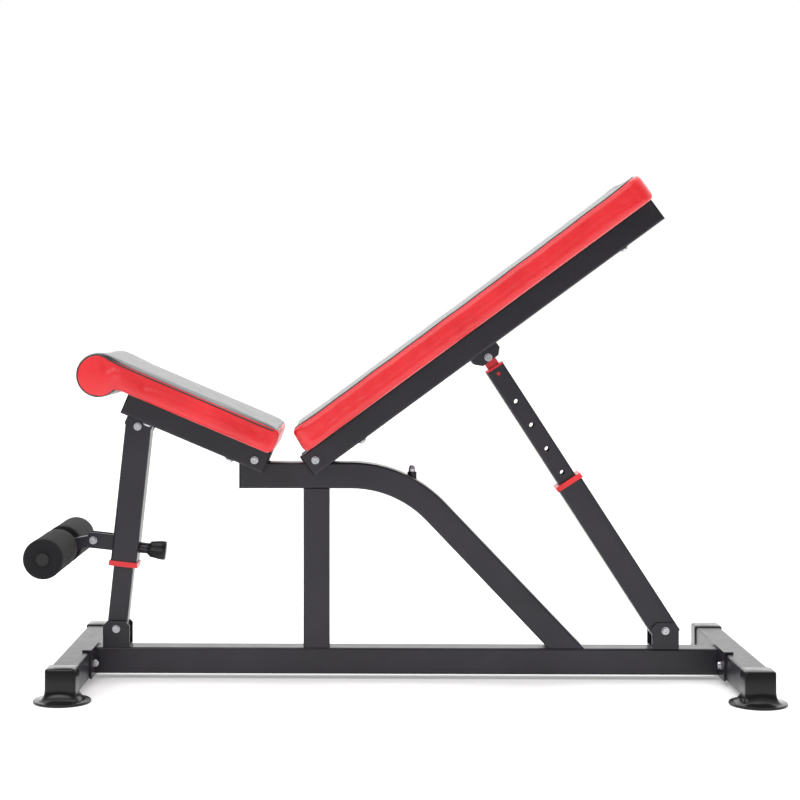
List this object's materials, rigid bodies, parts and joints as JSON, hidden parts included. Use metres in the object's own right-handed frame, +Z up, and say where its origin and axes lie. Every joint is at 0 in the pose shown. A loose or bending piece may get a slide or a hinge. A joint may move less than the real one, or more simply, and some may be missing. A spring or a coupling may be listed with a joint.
{
  "type": "adjustable weight bench",
  "caption": "Adjustable weight bench: square-tube steel base, padded seat and backrest on telescoping supports with pull-pins, and a foam-roller leg hold-down.",
  "frame": {"origin": "on the floor, at the centre of the overall box", "axes": "+Z up, +X from the seat towards the backrest head end, +Y to the far side"},
  "size_m": [1.3756, 0.574, 0.9513],
  "materials": {
    "frame_paint": "satin charcoal powder coat",
    "black_moulding": "moulded black plastic",
    "red_moulding": "moulded red plastic",
    "zinc": "bright zinc plate",
    "foam": "closed-cell foam",
    "vinyl": "red vinyl sides with a black vinyl top panel",
    "plywood": "black-stained plywood"
  },
  "bodies": {
    "base": {"base_beam": "frame_paint", "centre_post": "frame_paint", "top_bar": "frame_paint", "top_bar_cap": "black_moulding", "back_pivot_saddle": "frame_paint", "seat_pivot_saddle": "frame_paint", "front_bracket": "frame_paint", "rear_bracket": "frame_paint", "back_pivot_bolt": "zinc", "seat_pivot_bolt": "zinc", "post_foot_bolt": "zinc", "strut_foot_bolt": "zinc", "stop_boss": "black_moulding", "stop_screw": "zinc", "front_stabilizer": "frame_paint", "front_plate": "frame_paint", "front_plate_bolt_near": "zinc", "front_plate_bolt_far": "zinc", "front_foot_near": "black_moulding", "front_foot_far": "black_moulding", "rear_stabilizer": "frame_paint", "rear_plate": "frame_paint", "rear_plate_bolt_near": "zinc", "rear_plate_bolt_far": "zinc", "rear_foot_near": "black_moulding", "rear_foot_far": "black_moulding"},
    "backrest": {"back_rail_near": "frame_paint", "back_rail_far": "frame_paint", "back_lug_bolt_near": "zinc", "back_lug_bolt_far": "zinc", "back_cross_plate_lower": "frame_paint", "back_cross_plate_upper": "frame_paint", "back_board": "plywood", "back_pad": "vinyl"},
    "seat": {"seat_rail_near": "frame_paint", "seat_rail_far": "frame_paint", "seat_lug_bolt_near": "zinc", "seat_lug_bolt_far": "zinc", "seat_cross_plate_rear": "frame_paint", "seat_cross_plate_front": "frame_paint", "seat_board": "plywood", "seat_pad": "vinyl"},
    "strut_outer": {"strut_outer": "frame_paint", "strut_collar": "red_moulding"},
    "strut_inner": {"strut_inner": "frame_paint", "strut_eye": "red_moulding"},
    "strut_pin": {"strut_knob": "black_moulding"},
    "post_inner": {"post_inner": "frame_paint"},
    "post_outer": {"post_outer": "frame_paint", "post_collar": "red_moulding", "leg_arm": "frame_paint", "leg_arm_bolt": "zinc", "roller_axle": "zinc", "roller_plug_near": "black_moulding", "roller_plug_far": "black_moulding"},
    "post_pin": {"post_knob": "black_moulding"},
    "roller_near": {"foam_roller_near": "foam"},
    "roller_far": {"foam_roller_far": "foam"}
  },
  "joints": [
    {"name": "backrest_hinge", "type": "hinge", "parent": "base", "child": "backrest", "pos_m": [-0.15805, 0, 0.4202], "axis": [0, -1, 0], "range_deg": [-36.3, 0]},
    {"name": "strut_hinge", "type": "hinge", "parent": "base", "child": "strut_outer", "pos_m": [0.50665, 0, 0.095], "axis": [0, -1, 0], "range_deg": [0, 12.5]},
    {"name": "strut_slide", "type": "slide", "parent": "strut_outer", "child": "strut_inner", "axis": [-0.543, 0, 0.8397], "range_m": [-0.222, 0]},
    {"name": "strut_pin_pull", "type": "slide", "parent": "strut_outer", "child": "strut_pin", "axis": [0, 1, 0], "range_m": [0, 0.012], "stiffness_N_per_m": 600},
    {"name": "seat_hinge", "type": "hinge", "parent": "base", "child": "seat", "pos_m": [-0.27345, 0, 0.4202], "axis": [0, -1, 0], "range_deg": [0, 22.9]},
    {"name": "post_hinge", "type": "hinge", "parent": "base", "child": "post_inner", "pos_m": [-0.53975, 0, 0.095], "axis": [0, -1, 0], "range_deg": [-1, 0]},
    {"name": "post_slide", "type": "slide", "parent": "post_inner", "child": "post_outer", "axis": [0.1073, 0, 0.9942], "range_m": [-0.0935, 0]},
    {"name": "post_pin_pull", "type": "slide", "parent": "post_outer", "child": "post_pin", "axis": [0.9942, 0, -0.1073], "range_m": [0, 0.012], "stiffness_N_per_m": 600},
    {"name": "roller_near_spin", "type": "hinge", "parent": "post_outer", "child": "roller_near", "pos_m": [-0.65085, 0, 0.2493], "axis": [0, -1, 0], "continuous": true},
    {"name": "roller_far_spin", "type": "hinge", "parent": "post_outer", "child": "roller_far", "pos_m": [-0.65085, 0, 0.2493], "axis": [0, -1, 0], "continuous": true}
  ],
  "couplings": [
    {"joint": "strut_hinge", "follows": "backrest_hinge", "ratio": -0.32677},
    {"joint": "strut_slide", "follows": "backrest_hinge", "m_per_rad": 0.33825},
    {"joint": "post_hinge", "follows": "seat_hinge", "ratio": -0.028681},
    {"joint": "post_slide", "follows": "seat_hinge", "m_per_rad": -0.23119}
  ]
}
